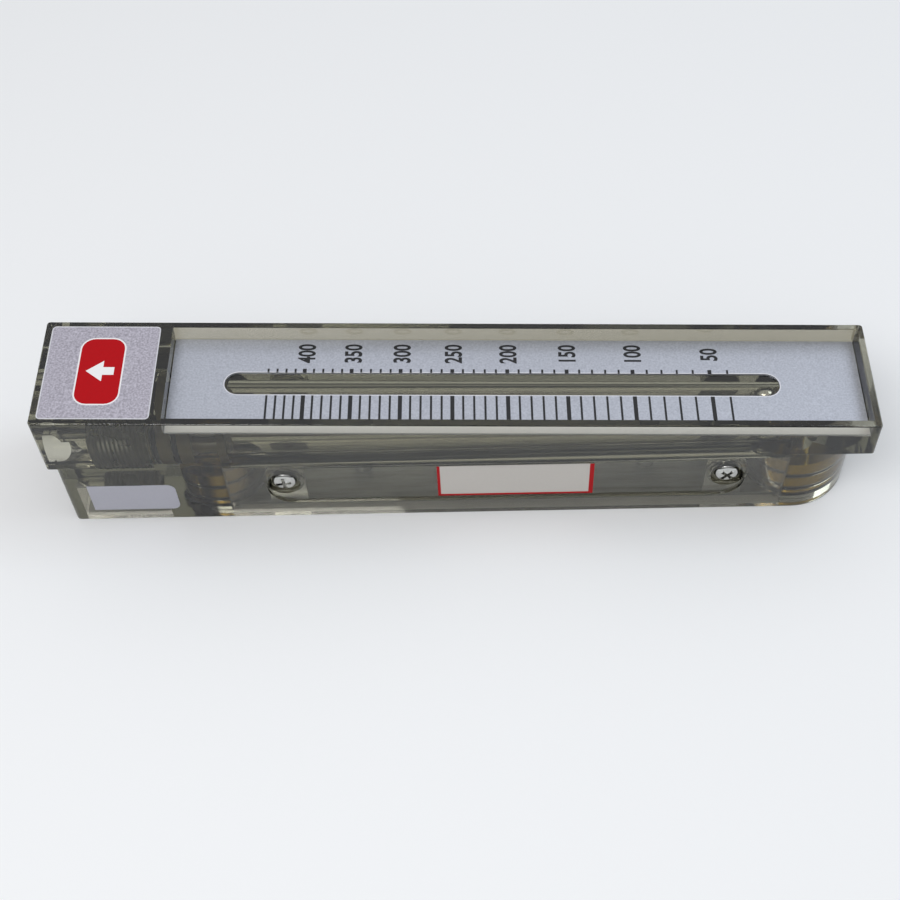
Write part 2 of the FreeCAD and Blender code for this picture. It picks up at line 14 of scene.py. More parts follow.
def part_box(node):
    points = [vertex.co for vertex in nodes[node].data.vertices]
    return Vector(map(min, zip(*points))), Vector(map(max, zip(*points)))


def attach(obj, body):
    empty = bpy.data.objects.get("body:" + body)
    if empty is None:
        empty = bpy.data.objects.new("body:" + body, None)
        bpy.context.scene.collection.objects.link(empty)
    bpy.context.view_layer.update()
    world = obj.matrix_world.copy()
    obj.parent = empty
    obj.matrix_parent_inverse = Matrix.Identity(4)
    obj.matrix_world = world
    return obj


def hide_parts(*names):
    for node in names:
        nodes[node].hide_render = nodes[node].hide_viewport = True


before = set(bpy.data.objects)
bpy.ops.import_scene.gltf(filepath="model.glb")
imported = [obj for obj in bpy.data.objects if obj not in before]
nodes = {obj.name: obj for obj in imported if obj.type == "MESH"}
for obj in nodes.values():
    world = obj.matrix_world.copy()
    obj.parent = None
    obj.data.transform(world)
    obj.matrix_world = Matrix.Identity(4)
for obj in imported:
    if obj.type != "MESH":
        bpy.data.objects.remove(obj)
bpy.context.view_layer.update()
HOUSING = "housing"
MM = 0.001
print("solids in the frame:", len(nodes))

# %% [markdown]
# ## The camera
# The meter lies on its back and is seen from in front and above, a little over half a metre away. A camera
# of that distance and a matching lens gives the same narrowing towards the far edge. It comes first,
# because every later choice is judged through it.

# %% Camera
CAMERA_PLACE = Vector((13.6, -429.2, 611.9)) * MM
CAMERA_TURN = (0.620, 0.0315, -0.0019)
CAMERA_LENS = 59.9
SENSOR_WIDTH = 36.0


def make_camera():
    data = bpy.data.cameras.new("camera")
    data.lens = CAMERA_LENS
    data.sensor_width = SENSOR_WIDTH
    camera = bpy.data.objects.new("camera", data)
    camera.location = CAMERA_PLACE
    camera.rotation_euler = CAMERA_TURN
    bpy.context.scene.collection.objects.link(camera)
    bpy.context.scene.camera = camera
    return camera


camera = make_camera()
print("camera to the middle of the meter:", round(camera.location.length, 3), "m")

# %% [markdown]
# ## Shader maths as plain expressions
# A material is a graph of nodes, and sums are easier to read as sums. `Value` wraps the output of a node and
# lets `+`, `-`, `*` and comparisons with numbers add their Math nodes. `Finish` is one material, and its
# `node` method makes any other node: its type, its settings and what goes into its sockets.


# %% Values and finishes
class Value:
    """The output of a node, ready for arithmetic."""

    def __init__(self, finish, socket):
        self.finish = finish
        self.socket = socket

    def math(self, operation, *others):
        inputs = dict(enumerate((self, *others)))
        return self.finish.node("ShaderNodeMath", {"operation": operation}, inputs)

    def __add__(self, other):
        return self.math("ADD", other)

    def __sub__(self, other):
        return self.math("SUBTRACT", other)

    def __rsub__(self, other):
        return self.finish.node("ShaderNodeMath", {"operation": "SUBTRACT"}, {0: other, 1: self})

    def __mul__(self, other):
        return self.math("MULTIPLY", other)

    __radd__ = __add__
    __rmul__ = __mul__

    def __gt__(self, other):
        return self.math("GREATER_THAN", other)

    def __lt__(self, other):
        return self.math("LESS_THAN", other)

    def larger(self, other):
        return self.math("MAXIMUM", other)


class Finish:
    """One material, drawn with nodes."""

    def __init__(self, name):
        self.material = bpy.data.materials.new(name)
        self.material.use_nodes = True
        self.tree = self.material.node_tree
        self.shader = self.tree.nodes["Principled BSDF"]
        self.output = self.tree.nodes["Material Output"]

    def node(self, kind, settings=None, inputs=None, output=0):
        made = self.tree.nodes.new(kind)
        for name, setting in (settings or {}).items():
            if name == "stops":
                self.set_stops(made, setting)
            else:
                setattr(made, name, setting)
        for name, given in (inputs or {}).items():
            self.feed(made.inputs[name], given)
        return Value(self, made.outputs[output])

    def set_stops(self, ramp_node, stops):
        elements = ramp_node.color_ramp.elements
        while len(elements) < len(stops):
            elements.new(1.0)
        for element, (place, colour) in zip(elements, stops):
            element.position = place
            element.color = (*colour, 1.0)

    def feed(self, socket, given):
        if isinstance(given, Value):
            self.tree.links.new(given.socket, socket)
        elif isinstance(given, tuple) and len(given) == 3 and socket.type == "RGBA":
            socket.default_value = (*given, 1.0)
        else:
            socket.default_value = given

    def surface(self, **given):
        for name, value in given.items():
            self.feed(self.shader.inputs[name.replace("_", " ")], value)
        return self

    def place(self):
        """Where a point lies on the object, in metres."""
        return self.node("ShaderNodeTexCoord", output="Object")

    def stretched(self, vector, scale):
        return self.node("ShaderNodeMapping", {}, {"Vector": vector, "Scale": scale})

    def part_of(self, vector, axis):
        return self.node("ShaderNodeSeparateXYZ", {}, {"Vector": vector}, output=axis)

    def noise(self, size, detail=2.0, stretch=(1.0, 1.0, 1.0)):
        """Soft noise whose blobs are about `size` metres across."""
        place = self.stretched(self.place(), stretch)
        return self.node("ShaderNodeTexNoise", {}, {"Vector": place, "Scale": 1 / size, "Detail": detail})

    def mix(self, factor, low, high):
        sockets = {"Factor": factor, "A": low, "B": high}
        made = self.tree.nodes.new("ShaderNodeMix")
        made.data_type = "RGBA"
        for socket in made.inputs:
            if socket.name in sockets and socket.enabled:
                self.feed(socket, sockets[socket.name])
        return Value(self, next(s for s in made.outputs if s.enabled))

    def bump(self, height, depth):
        """A normal that rises and falls by about `depth` metres."""
        return self.node("ShaderNodeBump", {}, {"Height": height, "Distance": depth, "Strength": 1.0})


def assign(item, finish):
    """Gives the whole of a piece one finish."""
    item.data.materials.clear()
    item.data.materials.append(finish.material)
    for face in item.data.polygons:
        face.material_index = 0


# %% [markdown]
# ## Clear polycarbonate
# The block is one moulding of clear polycarbonate, which bends light a little more than glass does and has a
# faint olive tint where it is thick. The tint belongs inside the material, so it is a volume absorption with
# a plain colour, and not a painted surface. A shallow ripple stands for the flow marks of a moulding. Two
# walls of the window over the scale, its far side and its bottom end, get a darker skin: painted shade for
# the shadow seen through them. A mask made of sums on the place finds them.

# %% Clear plastics
POLYCARBONATE_IOR = 1.585
FRONT_SLOPE = 15.0 / 384.2
FRONT_MIDDLE = 71.9 * MM
WINDOW_DEPTH = 9.0 * MM
WALL_FROM, WALL_TO = -0.1 * MM, 1.0 * MM
HAZE_SIZE = 12.0 * MM
RIPPLE_SIZE = 20.0 * MM
RIPPLE_DEPTH = 0.02 * MM
window_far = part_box("scale_plate")[1].y
window_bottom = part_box("scale_plate")[1].x


def milled_walls(finish):
    """1 on the walls at the far side and the bottom end of the window, which get painted shade, and 0
    elsewhere.
    """
    place = finish.place()
    x, y, z = (finish.part_of(place, axis) for axis in range(3))
    beside = (y > window_far + WALL_FROM) * (y < window_far + WALL_TO)
    beyond = (x > window_bottom + WALL_FROM) * (x < window_bottom + WALL_TO)
    above = z + x * FRONT_SLOPE > FRONT_MIDDLE - WINDOW_DEPTH
    return beside.larger(beyond) * above


def clear_plastic(name, skin, tint, density, roughness, painted_shade=None):
    """Plastic whose skin dims the light a little and whose inside absorbs it; a second, darker skin is
    painted shade on some walls.
    """
    finish = Finish(name)
    haze = finish.noise(HAZE_SIZE)
    colour = skin if painted_shade is None else finish.mix(milled_walls(finish), skin, painted_shade)
    flow_marks = finish.bump(finish.noise(RIPPLE_SIZE), RIPPLE_DEPTH)
    finish.surface(Transmission_Weight=1.0, IOR=POLYCARBONATE_IOR, Base_Color=colour,
                   Roughness=haze * roughness + roughness / 2, Normal=flow_marks)
    absorption = finish.node("ShaderNodeVolumeAbsorption", {}, {"Color": tint, "Density": density})
    finish.feed(finish.output.inputs["Volume"], absorption)
    return finish


POLYCARBONATE_TINT = (0.80, 0.80, 0.76)
# The darker second skin on the far and bottom-end walls of the window is painted shade for the shadow seen
# through them.
body_plastic = clear_plastic("clear_polycarbonate", (0.82, 0.80, 0.73), POLYCARBONATE_TINT, density=150.0,
                             roughness=0.012, painted_shade=(0.30, 0.27, 0.19))
plug_plastic = clear_plastic("plug_polycarbonate", (0.70, 0.69, 0.64), POLYCARBONATE_TINT, density=160.0,
                             roughness=0.30)

# %% [markdown]
# ## Metals
# Anodised aluminium is satin: a middling roughness, a fine speckle, and hardly a reflection to read. The name
# plate is coarser and a little warmer. Brass keeps the rings that a lathe leaves, and rolled steel its long
# grain, as noise squeezed along one axis or stretched along it. The scale is speckled on its face alone,
# because its plain underside is seen through the plastic.

# %% Metals
METAL_RELIEF = 0.02
SPECKLE_DETAIL = 3.0
SPECKLE_FROM, SPECKLE_TO = 0.3, 0.7
FACING_UP = 0.5


def metal(name, dark, pale, grain, roughness, spread=0.1, stretch=(1.0, 1.0, 1.0), metallic=1.0, faced=False):
    """Metal with a speckle; a faced one has it on its front alone, and is plain underneath."""
    finish = Finish(name)
    speckle = finish.noise(grain, SPECKLE_DETAIL, stretch)
    if faced:
        front = finish.part_of(finish.node("ShaderNodeNewGeometry", output="Normal"), 2) > FACING_UP
        speckle = (speckle - 0.5) * front + 0.5
    stops = [(SPECKLE_FROM, dark), (SPECKLE_TO, pale)]
    colour = finish.node("ShaderNodeValToRGB", {"stops": stops}, {"Fac": speckle})
    return finish.surface(Base_Color=colour, Metallic=metallic, Roughness=speckle * spread + roughness,
                          Normal=finish.bump(speckle, grain * METAL_RELIEF))


FINE_GRAIN = 0.9 * MM
LATHE_RINGS = (1.0, 1.0, 12.0)
ROLLED_GRAIN = (0.08, 1.0, 1.0)
scale_metal = metal("anodised_aluminium", (0.46, 0.48, 0.54), (0.60, 0.62, 0.69), grain=FINE_GRAIN,
                    roughness=0.36, metallic=0.75, faced=True)
plate_metal = metal("speckled_aluminium", (0.35, 0.33, 0.38), (0.64, 0.61, 0.69), grain=FINE_GRAIN,
                    roughness=0.42, metallic=0.6)
bare_metal = metal("cut_edge", (0.70, 0.70, 0.74), (0.80, 0.80, 0.84), grain=FINE_GRAIN,
                   roughness=0.40, metallic=0.5)
brass = metal("turned_brass", (0.30, 0.19, 0.03), (0.56, 0.39, 0.09), grain=2.0 * MM,
              roughness=0.12, stretch=LATHE_RINGS)
steel = metal("rolled_steel", (0.28, 0.29, 0.28), (0.40, 0.41, 0.40), grain=2.0 * MM,
              roughness=0.30, stretch=ROLLED_GRAIN)
screw_metal = metal("nickel_plate", (0.50, 0.50, 0.48), (0.66, 0.66, 0.64), grain=1.0 * MM,
                    roughness=0.10, spread=0.04)
float_metal = metal("polished_steel", (0.60, 0.60, 0.60), (0.70, 0.70, 0.70), grain=4.0 * MM,
                    roughness=0.04, spread=0.04)

# %% [markdown]
# ## Rubber, acetal, paper and ink
# The small soft and printed parts are not shiny, so each is a base colour with a slight mottle and its own
# roughness.

# %% Dull materials
BLOTCH_SIZE = 1.5 * MM
BLOTCH_RELIEF = 0.015 * MM
BLOTCH_SPREAD = 0.1


def dull(name, colour, roughness, mottle=0.12):
    """A colour with darker blotches, which mottle makes stronger."""
    finish = Finish(name)
    darker = tuple(channel * (1 - mottle) for channel in colour)
    blotch = finish.noise(BLOTCH_SIZE)
    return finish.surface(Base_Color=finish.mix(blotch, darker, colour),
                          Roughness=blotch * BLOTCH_SPREAD + roughness,
                          Normal=finish.bump(blotch, BLOTCH_RELIEF))


rubber = dull("black_rubber", (0.012, 0.012, 0.012), 0.38)
acetal = dull("tan_acetal", (0.42, 0.35, 0.21), 0.35)
paper = dull("label_paper", (0.60, 0.57, 0.53), 0.5, mottle=0.06)
grey_paper = dull("data_label_paper", (0.46, 0.46, 0.52), 0.5, mottle=0.10)
black_ink = dull("black_ink", (0.010, 0.010, 0.012), 0.45)
red_ink = dull("red_ink", (0.46, 0.002, 0.006), 0.5)
red_ink.surface(Specular_IOR_Level=0.15)
white_ink = dull("white_ink", (0.85, 0.84, 0.84), 0.4, mottle=0.05)

NODE_FINISHES = {
    "body": body_plastic, "end_plug": plug_plastic, "scale_plate": scale_metal, "name_plate": plate_metal,
    "side_label": paper, "end_label": grey_paper, "float": float_metal, "lower_seat": acetal,
    "upper_stop": acetal, "top_port_insert": brass, "bottom_port_insert": brass, "backbone": steel,
    "mounting_nut_top": steel, "mounting_nut_bottom": steel,
}
for name, node in nodes.items():
    kind = screw_metal if "screw" in name else rubber if "ring" in name else NODE_FINISHES[name]
    assign(node, kind)
print("finished nodes:", len(nodes))

# %% [markdown]
# ## A ruler on a sloping plate
# The front of the block slopes, and the scale and the name plate slope with it. `sloping_face` reads a
# plate's own top face and gives a matrix: x runs down the plate from its top end, y across it from the middle
# to the far side, and z out of it.

# %% Places on the plates
NEARLY_UP = 0.9


def sloping_face(name):
    """A matrix to the middle of a plate's top-end edge, on its outer face."""
    mesh = nodes[name].data
    faces = [face for face in mesh.polygons if face.normal.z > NEARLY_UP]
    outer = max(faces, key=lambda face: face.area)
    normal = outer.normal.normalized()
    points = [vertex.co for vertex in mesh.vertices]
    height = max(point.dot(normal) for point in points)
    along = Vector((normal.z, 0.0, -normal.x))
    start = min(point.dot(along) for point in points)
    across = normal.cross(along)
    middle = sum(corner.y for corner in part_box(name)) / 2
    origin = along * start + normal * height + across * middle
    rows = Matrix((along, across, normal)).transposed().to_4x4()
    return Matrix.Translation(origin) @ rows


scale_face = sloping_face("scale_plate")
name_face = sloping_face("name_plate")
print("slope of the front:", round(math.degrees(math.asin(scale_face.col[0][2])), 2), "degrees")


def keep(mesh, name, finish, place=None, body=HOUSING):
    """Turns a mesh into a finished piece that rides on a body."""
    if place is not None:
        mesh.transform(place)
    piece = bpy.data.objects.new(name, mesh)
    bpy.context.scene.collection.objects.link(piece)
    if finish is not None:
        assign(piece, finish)
    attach(piece, body)
    return piece


# %% [markdown]
# ## Geometry Nodes from Python
# What repeats by a rule is made with Geometry Nodes.


# %% Trees
class NodeGroup:
    """A Geometry Nodes tree with named inputs."""

    def __init__(self, name, inputs):
        self.tree = bpy.data.node_groups.new(name, "GeometryNodeTree")
        for label, (kind, default) in inputs.items():
            socket = self.tree.interface.new_socket(label, in_out="INPUT", socket_type=kind)
            if default is not None:
                socket.default_value = default
        self.tree.interface.new_socket("Geometry", in_out="OUTPUT", socket_type="NodeSocketGeometry")
        self.entry = self.tree.nodes.new("NodeGroupInput")
        self.exit = self.tree.nodes.new("NodeGroupOutput")

    def given(self, label):
        return self.entry.outputs[label]

    def node(self, kind, settings=None, inputs=None):
        made = self.tree.nodes.new(kind)
        for name, setting in (settings or {}).items():
            setattr(made, name, setting)
        for name, value in (inputs or {}).items():
            if isinstance(value, bpy.types.NodeSocket):
                self.tree.links.new(value, made.inputs[name])
            else:
                made.inputs[name].default_value = value
        return made

    def math(self, operation, *values):
        return self.node("ShaderNodeMath", {"operation": operation}, dict(enumerate(values))).outputs[0]

    def finish_with(self, geometry, material):
        real = self.node("GeometryNodeRealizeInstances", {}, {"Geometry": geometry})
        inked = self.node("GeometryNodeSetMaterial", {},
                          {"Geometry": real.outputs[0], "Material": material})
        self.tree.links.new(inked.outputs[0], self.exit.inputs[0])

    def run(self, name, **values):
        """The tree's result as a plain mesh."""
        holder = bpy.data.objects.new(name, bpy.data.meshes.new(name))
        bpy.context.scene.collection.objects.link(holder)
        modifier = holder.modifiers.new(name, "NODES")
        modifier.node_group = self.tree
        labels = {item.name: item.identifier for item in self.tree.interface.items_tree}
        for label, value in values.items():
            modifier[labels[label.replace("_", " ")]] = value
        bpy.context.view_layer.update()
        evaluated = holder.evaluated_get(bpy.context.evaluated_depsgraph_get())
        mesh = bpy.data.meshes.new_from_object(evaluated)
        bpy.data.objects.remove(holder)
        return mesh


# %% [markdown]
# ## Threads
# The end plug has a coarse outside thread, and both port inserts have a finer one inside. A thread is a sheet
# rolled into a tube whose radius rises and falls along a helix, so one tree with five numbers makes them all.
# The wave fades out at both ends, as a cut thread runs out, so the ends are plain circles that a turned piece
# can join.


# %% A thread
ROUND_STEPS = 96
ROWS_PER_TURN = 8


def thread_tree():
    number = "NodeSocketFloat"
    group = NodeGroup("thread", {
        "Rows": ("NodeSocketInt", 80), "Radius": (number, 0.01), "Depth": (number, 0.0005),
        "Pitch": (number, 0.002), "Start": (number, 0.0), "End": (number, 0.02),
    })
    sheet = group.node("GeometryNodeMeshGrid", {}, {
        "Size X": 1.0, "Size Y": 1.0, "Vertices X": ROUND_STEPS + 1, "Vertices Y": group.given("Rows")})
    spot = group.node("ShaderNodeSeparateXYZ", {}, {0: group.node("GeometryNodeInputPosition").outputs[0]})
    angle = group.math("MULTIPLY", spot.outputs[0], 2 * math.pi)
    share = group.math("ADD", spot.outputs[1], 0.5)
    length = group.math("SUBTRACT", group.given("End"), group.given("Start"))
    height = group.math("MULTIPLY_ADD", share, length, group.given("Start"))
    past_start = group.math("SUBTRACT", height, group.given("Start"))
    before_end = group.math("SUBTRACT", group.given("End"), height)
    nearest = group.math("DIVIDE", group.math("MINIMUM", past_start, before_end), group.given("Pitch"))
    fade = group.math("MINIMUM", nearest, 1.0)
    turns = group.math("MULTIPLY", group.math("DIVIDE", height, group.given("Pitch")), 2 * math.pi)
    wave = group.math("COSINE", group.math("SUBTRACT", turns, angle))
    swing = group.math("MULTIPLY", group.math("MULTIPLY", wave, fade), group.given("Depth"))
    radius = group.math("ADD", group.given("Radius"), swing)
    place = group.node("ShaderNodeCombineXYZ", {}, {
        "X": group.math("MULTIPLY", radius, group.math("COSINE", angle)),
        "Y": group.math("MULTIPLY", radius, group.math("SINE", angle)), "Z": height}).outputs[0]
    rolled = group.node("GeometryNodeSetPosition", {}, {"Geometry": sheet.outputs[0], "Position": place})
    closed = group.node("GeometryNodeMergeByDistance", {},
                        {"Geometry": rolled.outputs[0], "Distance": 0.001 * MM})
    group.finish_with(closed.outputs[0], plug_plastic.material)
    return group


threads = thread_tree()


def thread(radius, depth, pitch, start, end):
    """A tube about z with a helix on it, from one height to another."""
    rows = round((end - start) / pitch * ROWS_PER_TURN) + 1
    return threads.run("thread", Rows=rows, Radius=radius, Depth=depth, Pitch=pitch, Start=start, End=end)


print("faces in each turn of a thread:", ROUND_STEPS * ROWS_PER_TURN)

# %% [markdown]
# ## Turned pieces
# A turned piece is a half profile spun about an axis. Each ring of the profile has a radius and a height, and
# a radius may be a function of the angle, which is how the plug's hexagon socket comes from the same code as
# its round rim. Rings and threads are then joined, and doubled corners merged, into one closed surface.

# %% Spinning and joining
SAME_CORNER = 0.002 * MM
SHARP_ABOVE = math.radians(40.0)


def ring_points(radius, height):
    points = []
    for step in range(ROUND_STEPS):
        angle = 2 * math.pi * step / ROUND_STEPS - math.pi
        reach = radius(angle) if callable(radius) else radius
        points.append((reach * math.cos(angle), reach * math.sin(angle), height))
    return points


def spun(profile):
    """A surface through rings about z; the profile starts and ends where another surface carries on."""
    shape = bmesh.new()
    rings = [[shape.verts.new(point) for point in ring_points(*ring)] for ring in profile]
    for low, high in zip(rings, rings[1:]):
        for step in range(ROUND_STEPS):
            following = (step + 1) % ROUND_STEPS
            shape.faces.new((low[step], low[following], high[following], high[step]))
    mesh = bpy.data.meshes.new("spun")
    shape.to_mesh(mesh)
    shape.free()
    return mesh


def disc(radius, height):
    """A flat end."""
    shape = bmesh.new()
    shape.faces.new([shape.verts.new(point) for point in ring_points(radius, height)])
    mesh = bpy.data.meshes.new("disc")
    shape.to_mesh(mesh)
    shape.free()
    return mesh


def closed(name, meshes, place):
    """One closed surface from several that share their edges, put in its place."""
    shape = bmesh.new()
    for mesh in meshes:
        shape.from_mesh(mesh)
    bmesh.ops.remove_doubles(shape, verts=shape.verts, dist=SAME_CORNER)
    bmesh.ops.transform(shape, matrix=place, verts=shape.verts)
    bmesh.ops.recalc_face_normals(shape, faces=shape.faces)
    open_edges = sum(edge.is_boundary for edge in shape.edges)
    for face in shape.faces:
        face.smooth = True
    for edge in shape.edges:
        if len(edge.link_faces) == 2 and edge.calc_face_angle() > SHARP_ABOVE:
            edge.smooth = False
    mesh = bpy.data.meshes.new(name)
    shape.to_mesh(mesh)
    shape.free()
    print(f"{name}: {len(mesh.polygons)} faces, {open_edges} open edges")
    return mesh


def dress(mesh, name, finish, slot, *stands_for):
    """A finished piece that takes the place of solids of the housing."""
    piece = keep(mesh, name, finish)
    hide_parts(*stands_for)
    return piece


# %% [markdown]
# ## What presses against the block
# Clear plastic hides what stands a hair away from it: light that meets the air gap at a slant is thrown back,
# and the wall looks like a mirror. The real brass, rubber and threads press into the plastic and stay in
# sight. These pieces therefore reach a little way into the block, and the gap goes.

# %% The end plug
PRESS = 0.15 * MM
GROOVE_HALF = 1.6 * MM
GROOVE_DEPTH = 2.2 * MM
PLUG_PITCH = 2.1 * MM
PLUG_THREAD_DEPTH = 0.35 * MM
PLUG_SOCKET = 6.93 * MM
PLUG_SOCKET_DEPTH = 14.0 * MM
PLUG_CHAMFER = 1.0 * MM


def on_bore(node):
    """A matrix to the foot of a piece on the bore's axis, with z towards the top end."""
    low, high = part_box(node)
    middle = (low + high) / 2
    return Matrix.Translation((high.x, middle.y, middle.z)) @ Matrix.Rotation(-math.pi / 2, 4, "Y")


def hexagon(inner_radius):
    """The radius of a hexagon with a flat at each multiple of 60 degrees."""
    def reach(angle):
        from_flat = (angle + math.pi / 6) % (math.pi / 3) - math.pi / 6
        return inner_radius / math.cos(from_flat)
    return reach


def end_plug():
    low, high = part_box("end_plug")
    length = high.x - low.x
    root = (high.z - low.z) / 2 + PRESS + PLUG_THREAD_DEPTH
    start, end = PLUG_CHAMFER, length - PLUG_CHAMFER
    socket = hexagon(PLUG_SOCKET)
    floor = length - PLUG_SOCKET_DEPTH
    parts = [
        disc(root - PLUG_CHAMFER, 0.0),
        spun([(root - PLUG_CHAMFER, 0.0), (root, start)]),
        thread(root, PLUG_THREAD_DEPTH, PLUG_PITCH, start, end),
        spun([(root, end), (root - PLUG_CHAMFER, length), (socket, length), (socket, floor)]),
        disc(socket, floor),
    ]
    return closed("end_plug_threaded", parts, on_bore("end_plug"))


dress(end_plug(), "plug", plug_plastic, "clear_plug", "end_plug")

# %% The upper stop
STOP_RIM_PRESS = PRESS + 0.1 * MM
STOP_FLANGE = 4.0 * MM
STOP_WAIST_END = 16.0 * MM
STOP_WAIST = 9.0 * MM
STOP_HOLE = 5.5 * MM


def upper_stop():
    """The hollow stop that ends the float's travel; its land lies against the bore."""
    low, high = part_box("upper_stop")
    length = high.x - low.x
    rim = (high.y - low.y) / 2 + STOP_RIM_PRESS
    grooves = []
    for level in ("inner", "outer"):
        ring_low, ring_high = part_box(f"{level}_stop_ring")
        height = high.x - (ring_low.x + ring_high.x) / 2
        grooves += [(rim, height - GROOVE_HALF), (rim - GROOVE_DEPTH, height - GROOVE_HALF),
                    (rim - GROOVE_DEPTH, height + GROOVE_HALF), (rim, height + GROOVE_HALF)]
    shell = spun([(STOP_HOLE, STOP_WAIST_END), (STOP_HOLE, 0.0), (rim, 0.0), (rim, STOP_FLANGE),
                  (STOP_WAIST, STOP_FLANGE), (STOP_WAIST, STOP_WAIST_END), (rim, STOP_WAIST_END),
                  *grooves, (rim, length)])
    parts = [shell, disc(rim, length), disc(STOP_HOLE, STOP_WAIST_END)]
    return closed("upper_stop_turned", parts, on_bore("upper_stop"))


dress(upper_stop(), "float_stop", acetal, "steel", "upper_stop")

# %% The port inserts with their pipe threads
SLEEVE_PRESS = PRESS + 0.1 * MM
SLEEVE_FOOT = 3.02 * MM
PIPE_PITCH = 1.81 * MM
PIPE_THREAD_DEPTH = 0.5 * MM
PIPE_RADIUS = 9.6 * MM
PIPE_THREAD_END = 19.5 * MM
PASSAGE_RADIUS = 6.5 * MM
SPIGOT_RADIUS = 13.0 * MM
PIPE_CHAMFER = 1.0 * MM


def on_port(node):
    low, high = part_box(node)
    return Matrix.Translation(((low.x + high.x) / 2, (low.y + high.y) / 2, 0.0))


def seal_heights(port):
    boxes = [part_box(f"{port}_port_ring_{level}") for level in ("low", "high")]
    return sorted((low.z + high.z) / 2 for low, high in boxes)


def port_insert(port):
    low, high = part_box(f"{port}_port_insert")
    sleeve = (high.x - low.x) / 2 + SLEEVE_PRESS
    top = high.z + SLEEVE_PRESS
    bottom = low.z
    grooves = []
    for height in seal_heights(port):
        grooves += [(sleeve, height - GROOVE_HALF), (sleeve - GROOVE_DEPTH, height - GROOVE_HALF),
                    (sleeve - GROOVE_DEPTH, height + GROOVE_HALF), (sleeve, height + GROOVE_HALF)]
    thread_start = bottom + PIPE_CHAMFER
    outside = spun([(PIPE_RADIUS, thread_start), (PIPE_RADIUS + PIPE_CHAMFER, bottom),
                    (SPIGOT_RADIUS, bottom), (SPIGOT_RADIUS, SLEEVE_FOOT), (sleeve, SLEEVE_FOOT), *grooves,
                    (sleeve, top), (PASSAGE_RADIUS, top), (PASSAGE_RADIUS, PIPE_THREAD_END),
                    (PIPE_RADIUS, PIPE_THREAD_END)])
    pipe = thread(PIPE_RADIUS, PIPE_THREAD_DEPTH, PIPE_PITCH, thread_start, PIPE_THREAD_END)
    return closed(f"{port}_sleeve", [outside, pipe], on_port(f"{port}_port_insert"))


for port in ("top", "bottom"):
    dress(port_insert(port), f"{port}_sleeve", brass, "brass", f"{port}_port_insert")

# %% Sealing rings, pressed flat against the plastic
RING_SECTION = 1.2 * MM
RING_INSET = 0.8
RING_SPREAD = 1.15
RING_STEPS = 20


def pressed_ring(name, wall, height, place):
    """A rubber ring whose outside is squeezed into a flat band on a wall of the given radius."""
    profile = []
    for step in range(RING_STEPS + 1):
        angle = 2 * math.pi * step / RING_STEPS
        radius = wall - RING_SECTION * RING_INSET + RING_SECTION * math.cos(angle)
        profile.append((min(radius, wall + PRESS), height + RING_SPREAD * RING_SECTION * math.sin(angle)))
    return closed(name, [spun(profile)], place)


for port in ("top", "bottom"):
    for level in ("low", "high"):
        node = f"{port}_port_ring_{level}"
        low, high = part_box(node)
        name = f"{port}_seal_{level}"
        mesh = pressed_ring(name, (high.x - low.x) / 2, (low.z + high.z) / 2, on_port(node))
        dress(mesh, name, rubber, "seal", node)
for level in ("inner", "outer"):
    node = f"{level}_stop_ring"
    low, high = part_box(node)
    mesh = pressed_ring(f"{level}_seal", (high.y - low.y) / 2, (high.x - low.x) / 2, on_bore(node))
    dress(mesh, f"{level}_seal", rubber, "seal", node)

# %% [markdown]
# ## Side screws
# The four side screws lie open in their counterbores, with nothing clear in front of them, so here the metal
# itself does the work. A polished rim mirrors the sky above and the dark wall of the counterbore round it,
# and the recess for the driver is in shade. The recess is one more ring of the same turned profile, whose
# radius follows two crossed bars.

# %% Screws in the sides
PANEL_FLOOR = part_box("side_label")[1].y
HEAD_HEIGHT = 5.6 * MM
SCREW_HEAD = 5.9 * MM
SCREW_DOME = 1.8 * MM
SCREW_CROWN = 0.5 * MM
DOME_STEPS = 6
HEAD_RIM = 1.9 * MM
SCREW_SHANK = 2.4 * MM
DRIVE_REACH = 3.4 * MM
DRIVE_HALF = 0.85 * MM
DRIVE_DEPTH = 2.8 * MM
NEARLY_ZERO = 0.01
SCREW_TURNS = {"near_screw_top": 8, "near_screw_bottom": -42, "far_screw_top": 25, "far_screw_bottom": 60}


def crossed_bars(turn):
    """The radius of a cross whose arms are turned by an angle."""
    def bar(angle):
        along, across = (max(abs(share), NEARLY_ZERO) for share in (math.cos(angle), math.sin(angle)))
        return min(DRIVE_REACH / along, DRIVE_HALF / across)

    def reach(angle):
        return max(bar(angle - turn), bar(angle - turn + math.pi / 2))
    return reach


def side_screw(node, turn):
    """A domed screw whose crown is level with the panel round it."""
    low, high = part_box(node)
    outward = -1 if "near" in node else 1
    inner_end = min(low.y * outward, high.y * outward)
    length = -PANEL_FLOOR - inner_end
    rim, foot = length - SCREW_CROWN - SCREW_DOME, length - HEAD_HEIGHT
    dome = []
    for step in range(DOME_STEPS + 1):
        angle = math.pi / 2 * step / DOME_STEPS
        dome.append((SCREW_HEAD - HEAD_RIM * (1 - math.cos(angle)), rim + SCREW_DOME * math.sin(angle)))
    drive = crossed_bars(math.radians(turn))
    parts = [disc(SCREW_SHANK, 0.0),
             spun([(SCREW_SHANK, 0.0), (SCREW_SHANK, foot), (SCREW_HEAD, foot), *dome, (drive, length),
                   (drive, length - DRIVE_DEPTH)]),
             disc(drive, length - DRIVE_DEPTH)]
    middle = (low + high) / 2
    place = (Matrix.Translation((middle.x, outward * inner_end, middle.z))
             @ Matrix.Rotation(-outward * math.pi / 2, 4, "X"))
    return closed(f"{node}_turned", parts, place)


for node, turn in SCREW_TURNS.items():
    dress(side_screw(node, turn), node.replace("screw", "side_screw"), screw_metal, "screws", node)

# %% [markdown]
# ## The scale
# The flow past the ball grows faster than the ball rises, because the bore widens, so the marks crowd
# towards the top. Their places follow a power of the flow. The marks repeat, which makes them work for
# Geometry Nodes: a row of points, one for each mark, moved by the formula, with a thin bar set on every
# point.

